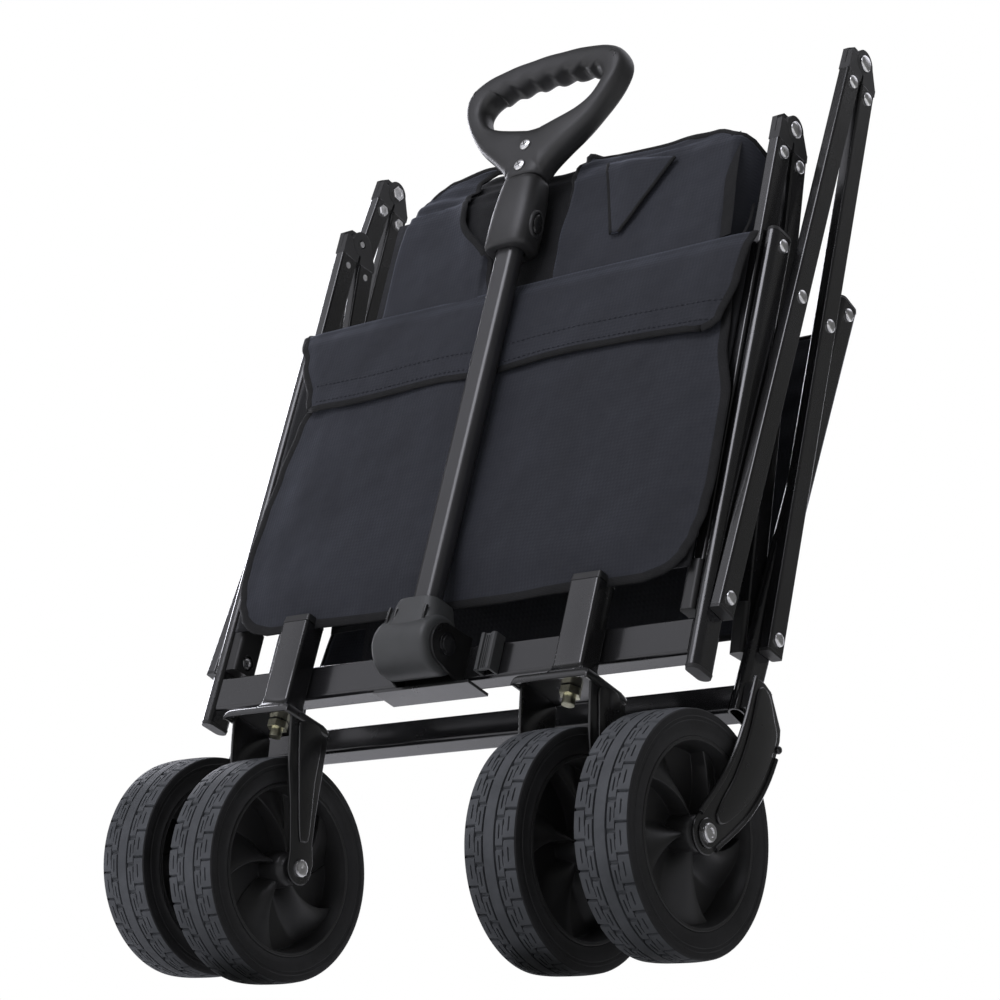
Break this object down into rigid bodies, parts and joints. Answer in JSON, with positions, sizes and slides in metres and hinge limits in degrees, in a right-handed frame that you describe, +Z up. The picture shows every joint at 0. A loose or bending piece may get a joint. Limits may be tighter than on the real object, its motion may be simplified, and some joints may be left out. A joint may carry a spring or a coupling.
{
  "type": "folding camp wagon",
  "caption": "Folding fabric camp wagon, shown folded: crossed steel side rails, front swivel casters, rear wheels and a telescopic pull handle.",
  "frame": {"origin": "middle of the folded wagon's outline, on the ground under its wheels", "axes": "+Z up, the front with the handle faces -Y, +X is the wagon's right as seen from the front"},
  "size_m": [0.5334, 0.2048, 0.8222],
  "materials": {
    "black_steel": "gloss",
    "pressed_steel": "gloss",
    "handle_tube": "satin",
    "zinc": "satin",
    "zinc_yellow": "satin",
    "tyre": "matte",
    "wheel_plastic": "satin",
    "hinge_plastic": "matte",
    "end_plastic": "satin",
    "handle_plastic": "matte",
    "grip_plastic": "matte",
    "button_plastic": "satin",
    "fabric": "matte",
    "board_fabric": "matte"
  },
  "bodies": {
    "front_frame": {"front_posts": "black_steel", "front_post_ends": "end_plastic", "front_crossbar": "black_steel", "front_frame_bolts": "zinc", "caster_stems": "black_steel", "caster_stem_caps": "end_plastic", "caster_kingpins": "zinc_yellow", "handle_bracket": "pressed_steel", "handle_pivot_bolt": "zinc", "parking_clip": "end_plastic", "front_panel": "fabric", "front_pocket": "fabric"},
    "floor_front": {"floor_rails_front": "black_steel", "floor_knuckles_front": "hinge_plastic", "floor_bolts_front": "zinc", "floor_shoes_front": "end_plastic", "floor_board_front": "board_fabric", "folded_fabric_front": "fabric"},
    "floor_rear": {"floor_rails_rear": "black_steel", "floor_knuckles_rear": "hinge_plastic", "floor_bolts_rear": "zinc", "floor_shoes_rear": "end_plastic", "floor_board_rear": "board_fabric", "folded_fabric_rear": "fabric"},
    "rear_frame": {"rear_posts": "black_steel", "rear_post_caps": "end_plastic", "rear_crossbar": "black_steel", "rear_frame_bolts": "zinc", "rear_arms": "pressed_steel", "rear_axles": "zinc", "rear_panel": "fabric"},
    "outer_front": {"outer_rails_front": "black_steel", "outer_knuckles_front": "hinge_plastic", "outer_bolts_front": "zinc", "outer_plugs_front": "end_plastic"},
    "outer_rear": {"outer_rails_rear": "black_steel", "outer_knuckles_rear": "hinge_plastic", "outer_bolts_rear": "zinc", "outer_plugs_rear": "end_plastic"},
    "caster_left": {"caster_fork_left": "pressed_steel", "caster_axle_left": "zinc"},
    "caster_right": {"caster_fork_right": "pressed_steel", "caster_axle_right": "zinc"},
    "wheel_front_left": {"wheel_rim_front_left": "wheel_plastic", "tyre_front_left": "tyre"},
    "wheel_front_right": {"wheel_rim_front_right": "wheel_plastic", "tyre_front_right": "tyre"},
    "wheel_rear_left": {"wheel_rim_rear_left": "wheel_plastic", "tyre_rear_left": "tyre"},
    "wheel_rear_right": {"wheel_rim_rear_right": "wheel_plastic", "tyre_rear_right": "tyre"},
    "handle_lower": {"pivot_housing": "handle_plastic", "handle_lower_tube": "handle_tube", "lock_sleeve": "handle_plastic"},
    "handle_upper": {"handle_upper_tube": "handle_tube", "hand_grip": "grip_plastic", "grip_screws": "zinc"},
    "lock_button": {"lock_button": "button_plastic"}
  },
  "joints": [
    {"name": "fold", "type": "hinge", "parent": "front_frame", "child": "floor_front", "pos_m": [0, -0.02244, 0.278], "axis": [-1, 0, 0], "range_deg": [0, 89.34]},
    {"name": "floor_fold", "type": "hinge", "parent": "floor_front", "child": "floor_rear", "pos_m": [0, -0.01744, 0.71], "axis": [-1, 0, 0], "range_deg": [-171.08, 0]},
    {"name": "rear_frame_hinge", "type": "hinge", "parent": "floor_rear", "child": "rear_frame", "pos_m": [0, 0.04556, 0.277], "axis": [-1, 0, 0], "range_deg": [0, 75.4]},
    {"name": "outer_lift", "type": "hinge", "parent": "front_frame", "child": "outer_front", "pos_m": [0, -0.02244, 0.278], "axis": [-1, 0, 0], "range_deg": [0, 49.73]},
    {"name": "outer_fold", "type": "hinge", "parent": "outer_front", "child": "outer_rear", "pos_m": [0, 0.02956, 0.805], "axis": [-1, 0, 0], "range_deg": [-103.23, 0]},
    {"name": "handle_pivot", "type": "hinge", "parent": "front_frame", "child": "handle_lower", "pos_m": [0, -0.06044, 0.248], "axis": [1, 0, 0], "range_deg": [0, 105]},
    {"name": "handle_slide", "type": "slide", "parent": "handle_lower", "child": "handle_upper", "axis": [0, 0, 1], "range_m": [0, 0.3]},
    {"name": "button_press", "type": "slide", "parent": "handle_lower", "child": "lock_button", "axis": [-1, 0, 0], "range_m": [0, 0.003], "stiffness_N_per_m": 300},
    {"name": "caster_left_swivel", "type": "hinge", "parent": "front_frame", "child": "caster_left", "pos_m": [-0.148, -0.04344, 0.218], "axis": [0, 0, -1], "range_deg": [-12, 190]},
    {"name": "caster_right_swivel", "type": "hinge", "parent": "front_frame", "child": "caster_right", "pos_m": [0.148, -0.04344, 0.218], "axis": [0, 0, 1], "range_deg": [-12, 190]},
    {"name": "wheel_front_left_spin", "type": "hinge", "parent": "caster_left", "child": "wheel_front_left", "pos_m": [-0.148, -0.01244, 0.09], "axis": [1, 0, 0], "continuous": true},
    {"name": "wheel_rear_left_spin", "type": "hinge", "parent": "rear_frame", "child": "wheel_rear_left", "pos_m": [-0.2355, -0.00344, 0.101], "axis": [1, 0, 0], "continuous": true},
    {"name": "wheel_front_right_spin", "type": "hinge", "parent": "caster_right", "child": "wheel_front_right", "pos_m": [0.148, -0.01244, 0.09], "axis": [1, 0, 0], "continuous": true},
    {"name": "wheel_rear_right_spin", "type": "hinge", "parent": "rear_frame", "child": "wheel_rear_right", "pos_m": [0.2355, -0.00344, 0.101], "axis": [1, 0, 0], "continuous": true}
  ],
  "couplings": [
    {"joint": "floor_fold", "follows": "fold", "ratio": -1.9148},
    {"joint": "rear_frame_hinge", "follows": "fold", "ratio": 0.84379},
    {"joint": "outer_lift", "follows": "fold", "ratio": 0.5564},
    {"joint": "outer_fold", "follows": "fold", "ratio": -1.1553}
  ]
}
